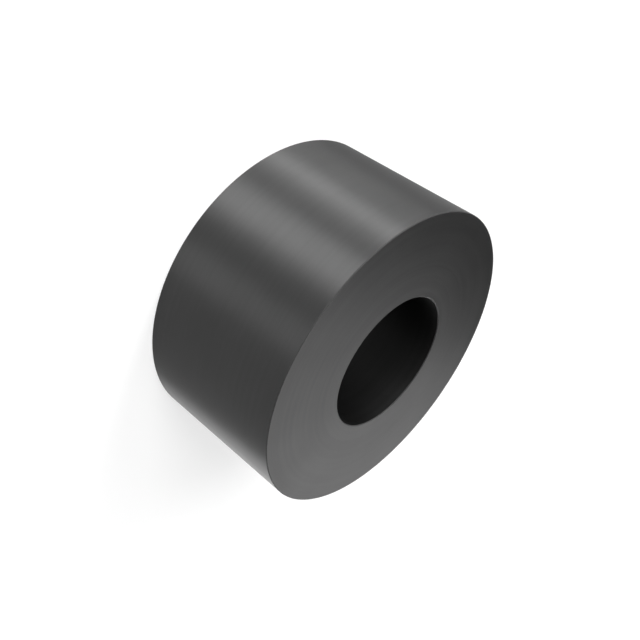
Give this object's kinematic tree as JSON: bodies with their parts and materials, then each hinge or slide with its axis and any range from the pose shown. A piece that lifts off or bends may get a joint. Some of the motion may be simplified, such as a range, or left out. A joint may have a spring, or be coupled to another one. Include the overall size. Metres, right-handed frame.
{
  "type": "spacer sleeve",
  "caption": "Short thick-walled round spacer sleeve in blackened steel, with flat end faces and a plain through bore, which keeps two parts a set distance apart on a screw.",
  "frame": {"origin": "centre of the lower end face, on the bore's axis, where the sleeve stands", "axes": "+Z along the bore's axis, from the lower end face to the upper one; X and Y lie in the lower end face, and the sleeve is the same all the way round"},
  "size_m": [0.02, 0.02, 0.01],
  "materials": {
    "black_oxide_steel": "fine turned steel, blackened, lightly oiled satin"
  },
  "bodies": {
    "root": {"sleeve": "black_oxide_steel"}
  },
  "joints": []
}
